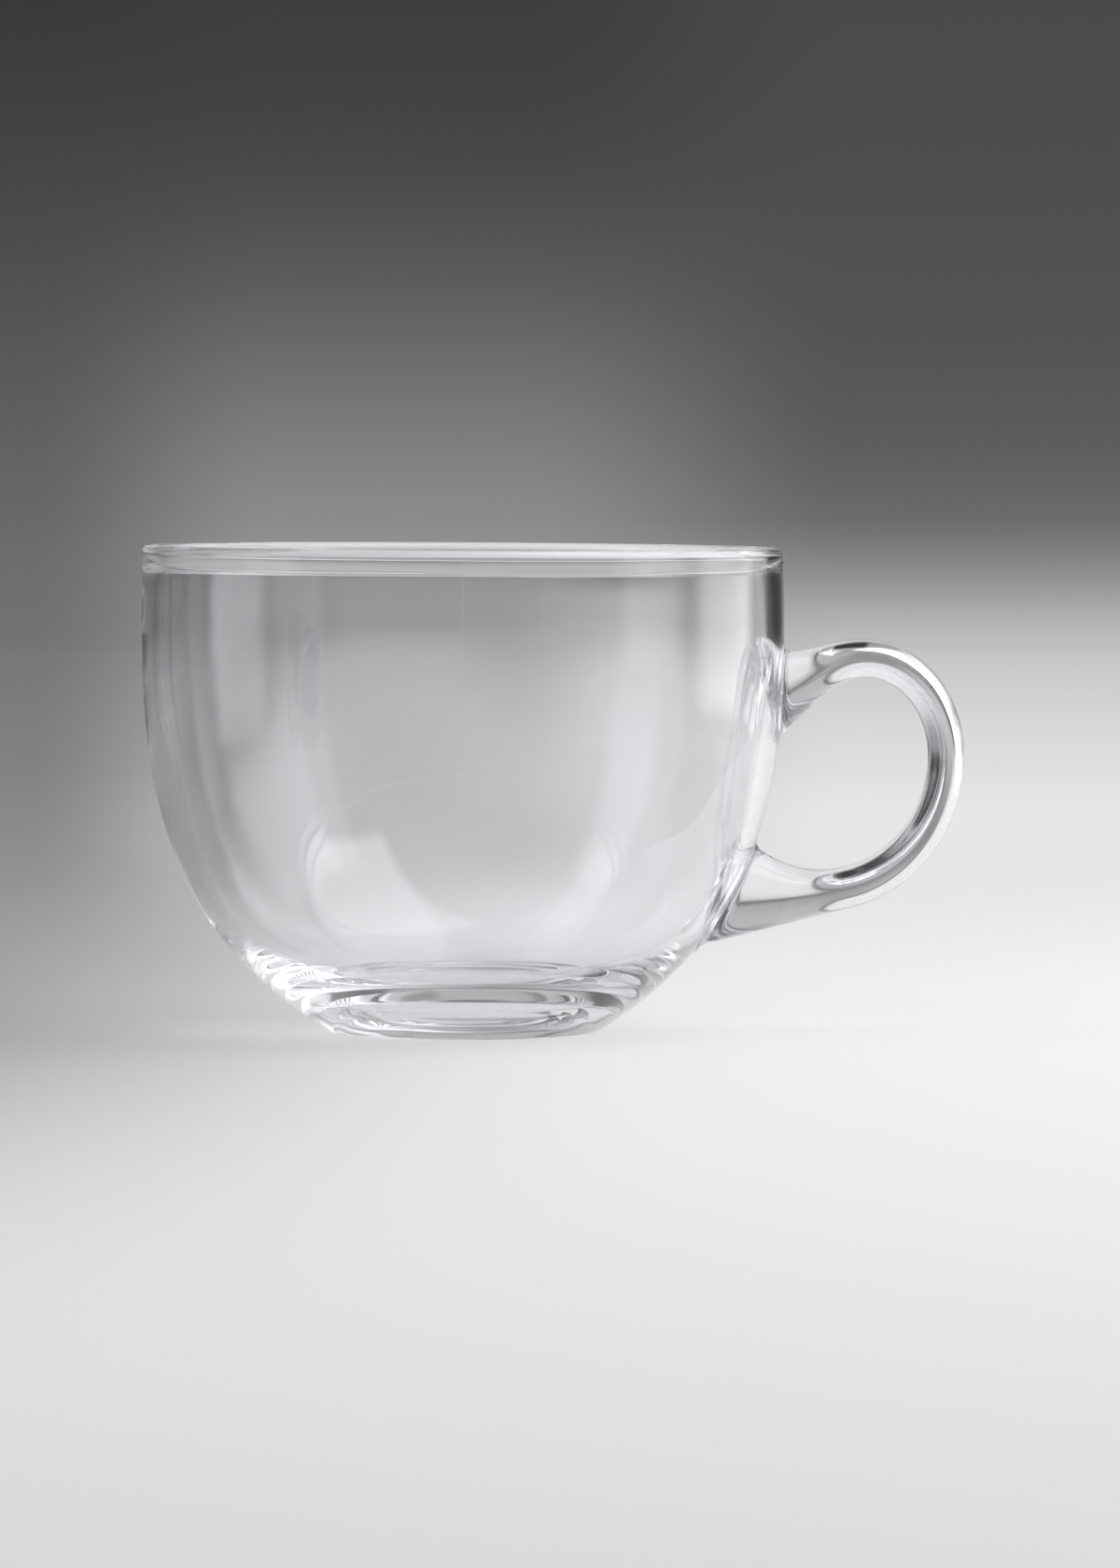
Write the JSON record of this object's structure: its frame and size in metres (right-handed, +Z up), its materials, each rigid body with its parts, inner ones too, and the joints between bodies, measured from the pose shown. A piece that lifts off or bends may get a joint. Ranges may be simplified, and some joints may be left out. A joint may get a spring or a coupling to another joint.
{
  "type": "glass latte cup",
  "caption": "Wide clear glass latte cup: a deep rounded bowl with a thick base and polished rim, and a loop handle of oval section sealed to its side.",
  "frame": {"origin": "middle of the cup's footprint, bowl and handle together, on the surface that the foot ring stands on", "axes": "+X towards the handle, +Z up out of the mouth, +Y to complete a right-handed frame"},
  "size_m": [0.1434, 0.112, 0.085],
  "materials": {
    "bowl_glass": "fire-polished clear soda-lime glass",
    "handle_glass": "pressed clear soda-lime glass with a faint teal tint in its thickness"
  },
  "bodies": {
    "root": {"bowl": "bowl_glass", "handle": "handle_glass"}
  },
  "joints": []
}
